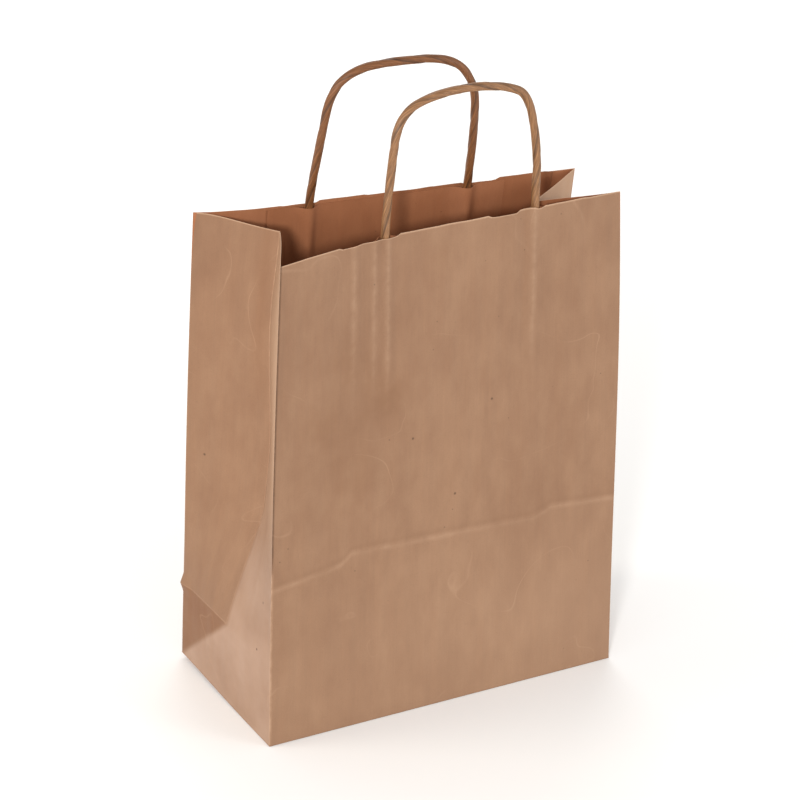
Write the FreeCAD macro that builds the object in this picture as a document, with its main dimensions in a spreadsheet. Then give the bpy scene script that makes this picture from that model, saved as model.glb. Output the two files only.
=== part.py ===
"""Brown kraft paper carrier bag with two twisted paper handles.

Millimetres, +Z up. X runs along the front panel to the right, Y from the front panel to
the rear panel. The origin is the middle of the base, on the surface the bag stands on.

The bag body is one creased sheet. Here it is split at its creases, so that each panel is
a solid of its own. A panel's outer face is a grid of points; the paper's thickness lies
on its inner side, and flat facets close the space between the two.
"""
import FreeCAD, Part
import Sketcher
import math
import os

Vector = FreeCAD.Vector

# name, size, what it is. Lengths are in millimetres, shares have no unit.
SIZES = [
    ("bag_width", 240, "front panel across the base"),
    ("bag_depth", 110, "gusset across the base"),
    ("mouth_height", 309, "height of the cut mouth over the base"),
    ("paper_thick", 0.16, "kraft paper of the body, 110 g per square metre"),
    ("corner_inset", 0.8, "from a panel's outer face to the edge that is creased to it"),
    ("fold_gap", 0.1, "air between two plies that lie on each other"),
    ("glue_thick", 0.05, "film of glue"),
    ("rear_shift", 5, "how far the rear panel stands to the left of the front one"),
    ("front_left_in", 0.5, "how far the front panel's top left corner stands in from its base"),
    ("front_right_in", 5, "the same of its top right corner"),
    ("front_lean_left", 23.8, "how far the front panel leans in at its left"),
    ("front_lean_right", 33, "how far the front panel leans in at its right"),
    ("front_flare", 10, "how far its top left corner turns out again"),
    ("rear_left_out", 13.5, "how far the rear panel's top left corner stands out from the base"),
    ("rear_right_in", 13, "how far its top right corner stands in"),
    ("rear_lean_left", 19.8, "how far the rear panel leans in at its left"),
    ("rear_lean_right", 38.5, "how far the rear panel leans in at its right"),
    ("rear_flare", 6.7, "how far its top left corner turns out again"),
    ("flare_length", 46, "stretch of each panel, from its left edge, that turns out"),
    ("crease_rise", 33, "height in which a gusset crease leaves the plane of its base"),
    ("seam_width", 15, "glued flap of the lengthwise joint"),
    ("seam_end_gap", 4, "from the joint's flap to the mouth and to the base"),
    ("flap_overlap", 24, "front and rear bottom flaps over each other"),
    ("glue_margin", 3, "bare paper round a film of glue"),
    ("cord_dia", 5, "twisted paper cord"),
    ("handle_spacing", 101, "between the two legs of a handle"),
    ("front_handle_mid", 4, "middle of the front handle, right of the middle"),
    ("rear_handle_mid", -16, "middle of the rear handle, right of the middle"),
    ("patch_length", 150, "handle patch along the mouth"),
    ("patch_height", 48, "handle patch down from the mouth"),
    ("patch_thick", 0.16, "each ply of a handle patch"),
    ("cord_end_gap", 4, "from a cord's lower end to the patch's lower edge"),
    ("cord_clearance", 0.15, "air between the cord and a ply"),
    ("flex_height", 6, "the cord bends at this height over the mouth"),
    ("flex_gap", 0.8, "between the cord's fixed end and the loop that swings"),
    ("hinge_gap", 0.2, "from the cord's outer side to the line that its loop swings about"),
]

# The two loops above their bends, chosen by hand: the share of the way from the left leg to
# the right one, and millimetres up from the mouth. Tangent arcs join the straight runs.
FRONT_ROUTE = [(0.012, 38), (0.051, 68), (0.149, 79), (0.485, 84), (0.822, 78), (0.95, 66), (1, 34)]
REAR_ROUTE = [(0.016, 36), (0.071, 72), (0.168, 84), (0.554, 89), (0.861, 82), (0.97, 69), (0.998, 36)]

doc = FreeCAD.newDocument("kraft_carrier_bag")
sheet = doc.addObject("Spreadsheet::Sheet", "Sizes")
for row, (alias, value, meaning) in enumerate(SIZES, start=1):
    sheet.set(f"A{row}", meaning)
    sheet.set(f"B{row}", str(value))
    sheet.setAlias(f"B{row}", alias)
doc.recompute()

nodes = []


def size(alias):
    """A size from the sheet, as a number."""
    return float(getattr(sheet, alias))


def keep(thing):
    """Note a finished sub-part, which is written to its own file."""
    nodes.append(thing)
    return thing


# ---------------------------------------------------------------- the panels' planes

def turned_out(distance, flare):
    """How far a panel's mouth line turns out, at a distance from its left edge."""
    share = max(0.0, 1.0 - distance / size("flare_length"))
    return flare * share ** 2


def front_point(across, height):
    """A point of the front panel's outer face; across runs from 0, left, to 1, right."""
    width, depth = size("bag_width"), size("bag_depth")
    rise = height / size("mouth_height")
    lean = size("front_lean_left") + across * (size("front_lean_right") - size("front_lean_left"))
    lean -= turned_out(across * width, size("front_flare"))
    base_x = (across - 0.5) * width
    shift = size("front_left_in") * (1 - across) - size("front_right_in") * across
    return Vector(base_x + rise * shift, -depth / 2 + rise * lean, height)


def rear_point(across, height):
    """The same on the rear panel's outer face."""
    width, depth = size("bag_width"), size("bag_depth")
    rise = height / size("mouth_height")
    lean = size("rear_lean_left") + across * (size("rear_lean_right") - size("rear_lean_left"))
    lean -= turned_out(across * width, size("rear_flare"))
    base_x = (across - 0.5) * width - size("rear_shift")
    shift = size("rear_shift") - size("rear_left_out") * (1 - across) - size("rear_right_in") * across
    return Vector(base_x + rise * shift, depth / 2 - rise * lean, height)


def crease_point(across, height):
    """The centre crease of the gusset at the panels' left (0) or right (1) edges.

    Each half of the gusset stays half the bag's depth wide, so the nearer the two panels
    come to each other, the further the crease moves into the bag.
    """
    front = front_point(across, height)
    rear = rear_point(across, height)
    half_depth = size("bag_depth") / 2
    half_chord = (rear - front).Length / 2
    sink = math.sqrt(max(0.0, half_depth ** 2 - half_chord ** 2))
    share = min(1.0, (height - half_depth) / size("crease_rise"))
    sink *= 1 - (1 - share) ** 2
    inwards = (rear - front).cross(Vector(0, 0, 1)).normalize()
    if across == 1:
        inwards = -inwards
    return (front + rear) / 2 + inwards * sink


# ---------------------------------------------------------------- sheets of paper

def grid_facets(rows, columns):
    """Triangles that cover a grid of points, numbered row by row."""
    facets = []
    for row in range(rows - 1):
        for column in range(columns - 1):
            first = row * columns + column
            facets.append((first, first + 1, first + columns + 1))
            facets.append((first, first + columns + 1, first + columns))
    return facets


def flat_face(*corners):
    return Part.Face(Part.makePolygon(list(corners) + [corners[0]]))


def solid_between(near, far, facets):
    """Close the space between two faces of a sheet, whose points go in pairs."""
    faces = []
    uses = {}
    for one, two, three in facets:
        faces.append(flat_face(near[one], near[two], near[three]))
        faces.append(flat_face(far[one], far[two], far[three]))
        for edge in ((one, two), (two, three), (three, one)):
            key = tuple(sorted(edge))
            uses[key] = uses.get(key, 0) + 1
    for (start, end), count in uses.items():
        if count == 1:
            faces.append(flat_face(near[start], near[end], far[end]))
            faces.append(flat_face(near[start], far[end], far[start]))
    shell = Part.makeShell(faces)
    shell.sewShape()
    solid = Part.makeSolid(shell).removeSplitter()
    if solid.Volume < 0:
        solid = Part.makeSolid(solid.Shells[0].reversed())
    return solid


def add_sheet(label, near, far, facets):
    """A sub-part made of paper or glue."""
    piece = doc.addObject("Part::Feature", label)
    piece.Shape = solid_between(near, far, facets)
    piece.Placement = FreeCAD.Placement()
    piece.Label = label
    return keep(piece)


def offset_points(points, facets, distance):
    """Move a sheet's points along its normal, which follows the order of the facets."""
    normals = [Vector(0, 0, 0) for _ in points]
    for corners in facets:
        one, two, three = (points[corner] for corner in corners)
        for corner in corners:
            normals[corner] += (two - one).cross(three - one).normalize()
    return [point + normal.normalize() * distance for point, normal in zip(points, normals)]


def wall_layer(label, wall, acrosses, heights, start, thick):
    """A ply on the inner side of the front or rear panel, start from its outer face."""
    side = 1 if wall is front_point else -1
    near = []
    far = []
    for height in heights:
        for across in acrosses:
            point = wall(across, height)
            near.append(point + Vector(0, side * start, 0))
            far.append(point + Vector(0, side * (start + thick), 0))
    return add_sheet(label, near, far, grid_facets(len(heights), len(acrosses)))


def steps(first, last, count):
    """Evenly spaced values from first to last, in so many steps."""
    return [first + (last - first) * number / count for number in range(count + 1)]


thick = size("paper_thick")
depth = size("bag_depth")
mouth = size("mouth_height")
gap = size("fold_gap")
cord_radius = size("cord_dia") / 2

# ---------------------------------------------------------------- places along the mouth

PANELS = {"front": (front_point, 1), "rear": (rear_point, -1)}


def mouth_width(name):
    wall, side = PANELS[name]
    return wall(1, mouth).x - wall(0, mouth).x


def across_at(name, mouth_x):
    """The share of a panel's width at which its mouth line passes a given x."""
    wall, side = PANELS[name]
    return (mouth_x - wall(0, mouth).x) / mouth_width(name)


def handle_stations(name, half_widths):
    """Shares of the panel's width at distances either side of the handle's middle."""
    middle = size(f"{name}_handle_mid")
    return [across_at(name, middle + distance) for distance in half_widths]


def leg_stations(name):
    return handle_stations(name, (-size("handle_spacing") / 2, size("handle_spacing") / 2))


def patch_stations(name, margin=0.0):
    half = size("patch_length") / 2 - margin
    return handle_stations(name, (-half, half))


# ---------------------------------------------------------------- front and rear panels

PANEL_STEPS = 3
SAME_PLACE = 1e-4
margin = size("glue_margin")
flare_share = size("flare_length") / size("bag_width")
seam_share = size("seam_width") / size("bag_width")
patch_low = mouth - size("patch_height")
lower_rows = steps(0, patch_low, PANEL_STEPS)
patch_rows = [patch_low, patch_low + margin, mouth - margin, mouth]


def panel_columns(name, first=0.0, last=1.0):
    """A panel's facets are divided where its patch, cords and seam lie, so these follow it."""
    places = steps(0, flare_share, PANEL_STEPS) + leg_stations(name) + [1 - seam_share, 1]
    places += patch_stations(name) + patch_stations(name, margin)
    columns = []
    for place in sorted(places):
        if first - SAME_PLACE < place < last + SAME_PLACE:
            if not columns or place > columns[-1] + SAME_PLACE:
                columns.append(place)
    return columns


for name, (wall, side) in PANELS.items():
    wall_layer(f"{name}_panel", wall, panel_columns(name), lower_rows + patch_rows[1:], 0, thick)

# ---------------------------------------------------------------- side gussets

# Heights of a gusset's facets, as shares of the bag's depth: the centre crease starts at
# half the depth, and bends most just above that.
GUSSET_SHARES = (0.5, 0.6, 0.7, 0.85, 1.1, 1.5, 2.1)


def gusset_edge(name, across, height):
    """The crease between a gusset and a panel, just inside that panel."""
    wall, side = PANELS[name]
    return wall(across, height) + Vector(0, side * size("corner_inset"), 0)


def gusset(side_name, across, inwards):
    """The two halves of a gusset and the triangle at its base, mitred where they meet."""
    points = [gusset_edge(name, across, 0) for name in PANELS]
    for height in [depth * share for share in GUSSET_SHARES] + [mouth]:
        edges = [gusset_edge(name, across, height) for name in PANELS]
        points += [edges[0], crease_point(across, height), edges[1]]
    groups = {"base": [(0, 1, 3)], "front": [(0, 3, 2)], "rear": [(1, 4, 3)]}
    for front in range(2, len(points) - 3, 3):
        middle, rear = front + 1, front + 2
        groups["front"] += [(front, middle, middle + 3), (front, middle + 3, front + 3)]
        groups["rear"] += [(middle, rear, rear + 3), (middle, rear + 3, middle + 3)]
    facets = [facet for group in groups.values() for facet in group]
    far = offset_points(points, facets, inwards * thick)
    for part_name, group in groups.items():
        add_sheet(f"{side_name}_gusset_{part_name}", points, far, group)


gusset("left", 0, 1)
gusset("right", 1, -1)

# ---------------------------------------------------------------- lengthwise joint

margin_share = margin / size("bag_width")
seam_rows = [size("seam_end_gap")] + lower_rows[1:] + [mouth - size("seam_end_gap")]
seam_glue_start = thick + gap
wall_layer("side_seam_glue", rear_point, [1 - seam_share + margin_share, 1 - margin_share],
           seam_rows, seam_glue_start, size("glue_thick"))
wall_layer("side_seam_flap", rear_point, [1 - seam_share, 1 - margin_share / 2],
           seam_rows, seam_glue_start + size("glue_thick"), thick)

# ---------------------------------------------------------------- handle patches


def hump(radius):
    """Half the outline of a ply that is pressed over a cord's leg, from its foot up."""
    corners = [(math.radians(angle), radius) for angle in (30, 70)]
    return [(distance * math.cos(angle), distance * math.sin(angle)) for angle, distance in corners]


HUMP_FOOT = 1.45
HUMP_CORNER = math.cos(math.radians(20))
patch_glue_start = thick + gap
outer_ply_start = patch_glue_start + size("glue_thick") + gap
leg_axis = outer_ply_start + size("patch_thick") + size("cord_clearance") + cord_radius
inner_ply_start = outer_ply_start + size("patch_thick") + gap


def humped_outline(name, flat_level, radius, foot):
    """Stations and levels, from a panel's outer face, of one face of the covering ply."""
    width = mouth_width(name)
    half = [(foot, flat_level)] + [(along, leg_axis + up) for along, up in hump(radius)]
    humps = [(leg + sign * along / width, level)
             for leg in leg_stations(name) for along, level in half for sign in (-1, 1)]
    flats = [(place, flat_level) for place in panel_columns(name, *patch_stations(name))
             if min(abs(place - leg) for leg in leg_stations(name)) > foot / width]
    return sorted(humps + flats)


def patch(name):
    """The two plies of a handle patch, and the glue that holds it to its panel."""
    wall, side = PANELS[name]
    ply = size("patch_thick")
    wall_layer(f"{name}_patch_outer", wall, panel_columns(name, *patch_stations(name)), patch_rows,
               outer_ply_start, ply)
    wall_layer(f"{name}_patch_glue", wall, panel_columns(name, *patch_stations(name, margin)),
               patch_rows[1:-1], patch_glue_start, size("glue_thick"))
    near_radius = (cord_radius + size("cord_clearance")) / HUMP_CORNER
    far_radius = near_radius + ply / HUMP_CORNER
    foot = HUMP_FOOT * cord_radius
    faces = []
    for outline in (humped_outline(name, inner_ply_start, near_radius, foot),
                    humped_outline(name, inner_ply_start + ply, far_radius, foot + ply)):
        faces.append([wall(across, height) + Vector(0, side * lift, 0)
                      for height in patch_rows for across, lift in outline])
    columns = len(faces[0]) // len(patch_rows)
    add_sheet(f"{name}_patch_inner", faces[0], faces[1], grid_facets(len(patch_rows), columns))


for name in PANELS:
    patch(name)

# ---------------------------------------------------------------- twisted paper cords


def leg_frame(name, station):
    """Where a leg's axis passes the mouth, and its direction, along the panel."""
    wall, side = PANELS[name]
    top = wall(station, mouth) + Vector(0, side * leg_axis, 0)
    low = wall(station, patch_low) + Vector(0, side * leg_axis, 0)
    return top, (top - low).normalize()


def tangent_path(points):
    """Straight runs joined by arcs as large as the runs on both sides allow."""
    edges = []
    start = points[0]
    for before, corner, after in zip(points, points[1:], points[2:]):
        back = (before - corner).normalize()
        on = (after - corner).normalize()
        turn = math.pi - back.getAngle(on)
        cut = 0.45 * min((before - corner).Length, (after - corner).Length)
        radius = cut / math.tan(turn / 2)
        middle = (back + on).normalize() * (radius / math.cos(turn / 2) - radius)
        edges.append(Part.LineSegment(start, corner + back * cut).toShape())
        edges.append(Part.Arc(corner + back * cut, corner + middle, corner + on * cut).toShape())
        start = corner + on * cut
        print(f"  arc of radius {radius:.1f} mm, turning {math.degrees(turn):.0f} degrees")
    edges.append(Part.LineSegment(start, points[-1]).toShape())
    return Part.Wire(edges)


def cord_ends(name):
    """The two straight ends of a cord, held between the plies of its patch."""
    ends = []
    for station, side_name in zip(leg_stations(name), ("left", "right")):
        top, direction = leg_frame(name, station)
        end = doc.addObject("Part::Cylinder", f"{name}_{side_name}_end")
        end.setExpression("Radius", "Sizes.cord_dia / 2")
        end.setExpression("Height", "Sizes.patch_height - Sizes.cord_end_gap + Sizes.flex_height"
                          " - Sizes.flex_gap / 2")
        hidden = size("patch_height") - size("cord_end_gap")
        turned = FreeCAD.Rotation(Vector(0, 0, 1), direction)
        end.Placement = FreeCAD.Placement(top - direction * hidden, turned)
        ends.append(end)
    pair = doc.addObject("Part::Compound", f"{name}_cord_ends")
    pair.Links = ends
    pair.Label = f"{name}_cord_ends"
    return keep(pair)


def handle_loop(name, route):
    """The part of a cord that stands over the mouth and swings."""
    (left, left_up), (right, right_up) = (leg_frame(name, station) for station in leg_stations(name))
    along = (right - left).normalize()
    upwards = (left_up + right_up) / 2
    upwards = (upwards - along * upwards.dot(along)).normalize()
    outwards = along.cross(upwards) * PANELS[name][1]
    span = (right - left).Length
    foot = size("flex_height") + size("flex_gap") / 2
    plan = [(0, foot)] + route + [(1, foot)]
    points = [left + along * (share * span) + upwards * up for share, up in plan]
    path = doc.addObject("Part::Feature", f"{name}_handle_path")
    path.Shape = tangent_path(points)
    section = doc.addObject("Part::Circle", f"{name}_handle_section")
    section.setExpression("Radius", "Sizes.cord_dia / 2")
    first_run = points[1] - points[0]
    section.Placement = FreeCAD.Placement(points[0], FreeCAD.Rotation(Vector(0, 0, 1), first_run))
    loop = doc.addObject("Part::Sweep", f"{name}_handle_cord")
    loop.Sections = [section]
    loop.Spine = (path, [f"Edge{number + 1}" for number in range(len(path.Shape.Edges))])
    loop.Solid = True
    loop.Label = f"{name}_handle_cord"
    doc.recompute()
    pivot = left + upwards * size("flex_height") + outwards * (cord_radius + size("hinge_gap"))
    tube = math.pi * cord_radius ** 2 * path.Shape.Length
    print(f"{name} loop swings about {pivot}, towards {along * PANELS[name][1]}")
    print(f"{name} cord: loop {path.Shape.Length:.1f} mm, volume over section times length"
          f" {loop.Shape.Volume / tube:.4f}, apex {left + along * span / 2 + upwards * route[3][1]}")
    return keep(loop)


for name, route in (("front", FRONT_ROUTE), ("rear", REAR_ROUTE)):
    cord_ends(name)
    handle_loop(name, route)

# ---------------------------------------------------------------- folded bottom


def base_edge(side, from_front):
    """Expression: x of the base's left (-1) or right (1) edge, so far behind its front."""
    return f"{side} * Sizes.bag_width / 2 - Sizes.rear_shift * ({from_front}) / Sizes.bag_depth"


def bottom_ply(label, corners, low, thickness):
    """A flat ply of the bottom: corners are pairs of expressions, in order round it."""
    body = doc.addObject("PartDesign::Body", label)
    body.Label = label
    plane = next(item for item in body.Origin.OriginFeatures if item.Role == "XY_Plane")
    sketch = body.newObject("Sketcher::SketchObject", f"{label}_outline")
    sketch.AttachmentSupport = [(plane, "")]
    sketch.MapMode = "FlatFace"
    sketch.setExpression(".AttachmentOffset.Base.z", low)
    count = len(corners)
    rough = [Vector(*(float(sketch.evalExpression(term)) for term in corner)) for corner in corners]
    for number in range(count):
        sketch.addGeometry(Part.LineSegment(rough[number], rough[(number + 1) % count]), False)
    for number in range(count):
        sketch.addConstraint(Sketcher.Constraint("Coincident", number, 2, (number + 1) % count, 1))
    for number, corner in enumerate(corners):
        for kind, term, value in zip(("DistanceX", "DistanceY"), corner, rough[number]):
            index = sketch.addConstraint(Sketcher.Constraint(kind, -1, 1, number, 1, value))
            sketch.setExpression(f"Constraints[{index}]", term)
    pad = body.newObject("PartDesign::Pad", f"{label}_pad")
    pad.Profile = sketch
    pad.setExpression("Length", thickness)
    return keep(body)


HALF_DEPTH = "Sizes.bag_depth / 2"
INSET = "Sizes.corner_inset"
REACH = "(Sizes.bag_depth + Sizes.flap_overlap) / 2"
PLY = "Sizes.paper_thick"

# Each long flap reaches past the middle, and its corners are folded at 45 degrees.
ply_lows = {"rear": "0 * Sizes.paper_thick", "front": "Sizes.paper_thick + Sizes.glue_thick"}
for name, (wall, side) in PANELS.items():
    own_edge = INSET if name == "front" else f"Sizes.bag_depth - {INSET}"
    tip_edge = REACH if name == "front" else f"Sizes.bag_depth - {REACH}"
    bottom_ply(f"bottom_{name}_flap", [
        (f"{base_edge(-1, own_edge)} + {INSET}", f"{own_edge} - {HALF_DEPTH}"),
        (f"{base_edge(1, own_edge)} - {INSET}", f"{own_edge} - {HALF_DEPTH}"),
        (f"{base_edge(1, tip_edge)} - {REACH}", f"{tip_edge} - {HALF_DEPTH}"),
        (f"{base_edge(-1, tip_edge)} + {REACH}", f"{tip_edge} - {HALF_DEPTH}"),
    ], ply_lows[name], PLY)

# The glue lies where the two long flaps cover each other.
glue_half = "(Sizes.flap_overlap / 2 - Sizes.glue_margin)"
glue_end = f"({REACH} + Sizes.glue_margin)"
bottom_ply("bottom_glue", [
    (f"{base_edge(edge, HALF_DEPTH)} - {edge} * {glue_end}", f"{way} * {glue_half}")
    for edge, way in ((-1, -1), (1, -1), (1, 1), (-1, 1))
], PLY, "Sizes.glue_thick")

# The gussets' tucks lie on top of the long flaps, inside the bag.
for side_name, edge in (("left", -1), ("right", 1)):
    bottom_ply(f"bottom_{side_name}_tuck", [
        (f"{base_edge(edge, INSET)} - {edge} * {INSET}", f"{INSET} - {HALF_DEPTH}"),
        (f"{base_edge(edge, HALF_DEPTH)} - {edge} * {HALF_DEPTH}", "0 * Sizes.bag_depth"),
        (f"{base_edge(edge, f'Sizes.bag_depth - {INSET}')} - {edge} * {INSET}",
         f"{HALF_DEPTH} - {INSET}"),
    ], "2 * Sizes.paper_thick + Sizes.glue_thick + Sizes.fold_gap", PLY)

# ---------------------------------------------------------------- check and write

doc.recompute()
for thing in doc.Objects:
    if "Invalid" in thing.State or "Error" in thing.State:
        raise RuntimeError(f"{thing.Name} failed: {thing.State}")
os.makedirs("parts", exist_ok=True)
for node in nodes:
    shape = node.Shape
    if shape.isNull() or not shape.isValid():
        raise RuntimeError(f"{node.Label} has no valid shape")
    print(f"{node.Label}: {len(shape.Solids)} solid, {shape.Volume:.1f} mm3, {len(shape.Faces)} faces")
    shape.exportStep(f"parts/{node.Label}.step")
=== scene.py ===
# %% [markdown]
# # A brown kraft paper carrier bag
#
# A carrier bag is one sheet of paper that a machine creases, folds into a tube, glues along
# one corner and folds shut at the bottom. Two twisted paper cords are glued to it under
# patches, just inside the mouth. This lesson dresses the measured frame of such a bag: each
# step says what a piece is on the real bag, how it could be made, and why it is made so.

# %% Load the measured frame
import math
import bpy
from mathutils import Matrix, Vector, noise


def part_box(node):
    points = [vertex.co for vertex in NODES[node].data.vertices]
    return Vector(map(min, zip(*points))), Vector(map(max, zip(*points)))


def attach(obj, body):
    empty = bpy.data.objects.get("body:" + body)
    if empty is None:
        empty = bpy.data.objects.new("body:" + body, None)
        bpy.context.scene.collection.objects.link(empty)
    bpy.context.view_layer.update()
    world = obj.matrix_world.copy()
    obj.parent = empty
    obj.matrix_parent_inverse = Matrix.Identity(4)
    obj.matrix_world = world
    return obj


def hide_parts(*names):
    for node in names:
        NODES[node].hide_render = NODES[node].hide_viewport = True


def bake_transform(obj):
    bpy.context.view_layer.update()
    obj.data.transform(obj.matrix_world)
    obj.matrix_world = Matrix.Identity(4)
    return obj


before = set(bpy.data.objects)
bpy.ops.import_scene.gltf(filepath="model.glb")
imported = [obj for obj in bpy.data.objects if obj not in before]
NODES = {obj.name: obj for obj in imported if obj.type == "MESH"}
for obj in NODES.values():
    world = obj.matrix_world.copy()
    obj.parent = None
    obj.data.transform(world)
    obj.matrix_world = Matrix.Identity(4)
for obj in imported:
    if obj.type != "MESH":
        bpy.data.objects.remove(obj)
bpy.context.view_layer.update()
MM = 0.001

# %% [markdown]
# ## The camera
#
# The camera comes first, because every later choice is judged through it. It could be
# turned by hand until the bag looks right. Here it is placed on three angles round a point
# in the bag, because angles can be read, compared and changed one at a time. The lens is
# long, as in a catalogue, so upright edges stay nearly parallel.

# %% Place the camera
AIM = Vector((-13.35, 0.0, 184.72)) * MM
DISTANCE = 1703.6 * MM
LENS = 128.68            # in mm, on a sensor 36 mm wide
TURN, PITCH, ROLL = math.radians(30.705), math.radians(27.791), math.radians(3.852)

camera_data = bpy.data.cameras.new("product_camera")
camera_data.lens = LENS
camera_data.sensor_width = 36.0
camera = bpy.data.objects.new("product_camera", camera_data)
bpy.context.collection.objects.link(camera)
level_way = Vector((-math.sin(TURN), -math.cos(TURN), 0))
backwards = level_way * math.cos(PITCH) + Vector((0, 0, math.sin(PITCH)))
camera.location = AIM + backwards * DISTANCE
camera.rotation_euler = (-backwards).to_track_quat("-Z", "Y").to_euler()
camera.rotation_euler.rotate_axis("Z", ROLL)
bpy.context.scene.camera = camera
print("camera stands at", [round(value, 3) for value in camera.location])

# %% [markdown]
# ## Where the folds lie
#
# The frame already holds the four upright folds and the mouth, at their real places. They
# could be measured and typed in again, but then the two could drift apart. Instead the
# outer face of each panel is read from the frame's own mesh: one line at the base, one at
# the mouth. Every piece of paper below is placed between those two lines.

# %% Read the panels' lines from the frame
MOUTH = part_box("front_panel")[1].z
FLARE = {"front": (75 * MM, 1.5), "rear": (46 * MM, 2)}   # reach and power of the left edges' outward turn
CREASE_RISE = 75 * MM    # height in which a gusset's crease sinks in, above its base triangle
CREASE_EASE = 1.3        # how softly it reaches its full depth
CREASE_SAG = 1.8 * MM    # how far the crease's end has sunk at the mouth
CREASE_PULL = Vector((-6.5, -0.4, -2.8)) * MM   # the left crease is drawn out and down at the mouth
PULL_START, PULL_LENGTH = 160 * MM, 95 * MM
CREASE_TIP = 2.1 * MM    # and its last part springs back inwards
TIP_START, TIP_LENGTH = 262 * MM, 46 * MM
STRAIGHT_FROM = 60 * MM  # right of this, the mouth line of a panel is straight
TINY = 0.01 * MM


def outer_line(node, height, side):
    """The outer face of a panel at one height, from left to right; side is -1 in front."""
    outermost = {}
    for vertex in NODES[node].data.vertices:
        if abs(vertex.co.z - height) < TINY:
            key = round(vertex.co.x / TINY)
            if key not in outermost or vertex.co.y * side > outermost[key].y * side:
                outermost[key] = vertex.co.copy()
    return [outermost[key] for key in sorted(outermost)]


def read_panel(node, side):
    """The base line, the straight part of the mouth line, and how far its left end flares."""
    base, mouth = outer_line(node, 0.0, side), outer_line(node, MOUTH, side)
    width = base[-1].x - base[0].x
    straight = next(point for point in mouth if point.x > mouth[0].x + STRAIGHT_FROM)
    slope = (mouth[-1].y - straight.y) / (mouth[-1].x - straight.x)
    flare = mouth[0].y - mouth[-1].y - slope * (mouth[0].x - mouth[-1].x)
    return {"side": side, "width": width, "base": (base[0], base[-1]),
            "mouth": (mouth[0] - Vector((0, flare, 0)), mouth[-1]), "flare": flare,
            "flared": FLARE["front" if side < 0 else "rear"]}


PANELS = {"front": read_panel("front_panel", -1), "rear": read_panel("rear_panel", 1)}
WIDTH = PANELS["front"]["width"]
DEPTH = PANELS["rear"]["base"][0].y - PANELS["front"]["base"][0].y
for name, panel in PANELS.items():
    print(name, "mouth from", [round(value / MM, 1) for value in panel["mouth"][0]],
          "to", [round(value / MM, 1) for value in panel["mouth"][1]])

# %% [markdown]
# ## Paper is never quite flat
#
# A real panel swells a little between its folds, keeps the print of the cords that lay
# pressed on it in the pack, and shows a faint line where the flat bag was folded. Cloth
# simulation could bulge the sheet, but it would also stretch it, which paper doesn't do.
# So the panel keeps its folded shape and gets a small relief, in millimetres outwards,
# that is a sum of named swellings.

# %% Swellings and marks of the panels
PACK_FOLD = DEPTH        # height of the line across the front, where the flat pack was folded
SWELL = 0.9 * MM         # how far the large, slow swellings reach
RIDGE = 0.5 * MM         # height of the pack's line, and how far it spreads up and down
RIDGE_SPREAD = 8 * MM
HELD = 30 * MM           # the folds hold the paper flat for so far
PRINT_FADE = 45 * MM     # length in which a cord's print fades out
CORD_PRINTS = {
    # distance from the panel's left edge, half width, length down from the mouth, depth
    "front": [(0.221, 4.0, 112, 0.5), (0.249, 3.2, 105, -0.4), (0.280, 3.6, 118, 0.45),
              (0.300, 2.8, 112, -0.4), (0.319, 3.4, 122, 0.5), (0.714, 4.2, 105, -0.5),
              (0.741, 4.0, 112, 0.5)],
    "rear": [(0.24, 6.0, 95, 0.3), (0.66, 6.5, 110, 0.35)],
}


def smooth(value):
    """Eases from 0 to 1."""
    value = min(1.0, max(0.0, value))
    return value * value * (3 - 2 * value)


def print_of_cord(share, height, place, half_width, length, depth):
    """A long soft ridge that fades out downwards."""
    across = (share - place) * WIDTH / (half_width * MM)
    fade = smooth((height - (MOUTH - length * MM)) / PRINT_FADE)
    return depth * MM * math.exp(-across * across) * fade


def relief(name, share, height):
    """How far a panel's paper stands out of its plane, outwards."""
    seed = 3.1 if name == "front" else 8.7
    place = Vector((share * WIDTH, height, seed * 50 * MM))
    slow = noise.noise(place / (85 * MM)) + 0.4 * noise.noise(place / (34 * MM))
    held = smooth(share * WIDTH / HELD) * smooth((1 - share) * WIDTH / HELD)
    held *= smooth(height / (40 * MM))
    out = SWELL * slow * held
    for mark in CORD_PRINTS[name]:
        out += print_of_cord(share, height, *mark) * held
    if name == "front":
        out += RIDGE * math.exp(-abs(height - PACK_FOLD) / RIDGE_SPREAD) * held
    return out


def wall_point(name, share, height, with_relief=True):
    """The outer face of a panel: share runs from 0 at its left to 1 at its right edge."""
    panel = PANELS[name]
    base = panel["base"][0].lerp(panel["base"][1], share)
    mouth = panel["mouth"][0].lerp(panel["mouth"][1], share)
    reach, power = panel["flared"]
    mouth.y += panel["flare"] * max(0.0, 1 - share * WIDTH / reach) ** power
    point = base.lerp(mouth, height / MOUTH)
    if with_relief:
        point.y += panel["side"] * relief(name, share, height)
    return point


def crease_point(share, height):
    """The centre crease of the gusset at the panels' left (0) or right (1) edge."""
    front, rear = (wall_point(name, share, height, False) for name in ("front", "rear"))
    sink = math.sqrt(max(0.0, (DEPTH / 2) ** 2 - ((rear - front).length / 2) ** 2))
    sink *= 1 - (1 - min(1.0, (height - DEPTH / 2) / CREASE_RISE)) ** CREASE_EASE
    inwards = (rear - front).cross(Vector((0, 0, 1))).normalized() * (1 if share == 0 else -1)
    pull = Vector((0, 0, -CREASE_SAG * height / MOUTH))
    if share == 0:
        pull = CREASE_PULL * (height / MOUTH) ** 2
        pull.x = CREASE_PULL.x * smooth((height - PULL_START) / PULL_LENGTH)
        pull.x += CREASE_TIP * smooth((height - TIP_START) / TIP_LENGTH)
    return (front + rear) / 2 + inwards * sink + pull


print("gusset crease at the mouth:", [round(value / MM, 1) for value in crease_point(0, MOUTH)])

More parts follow.
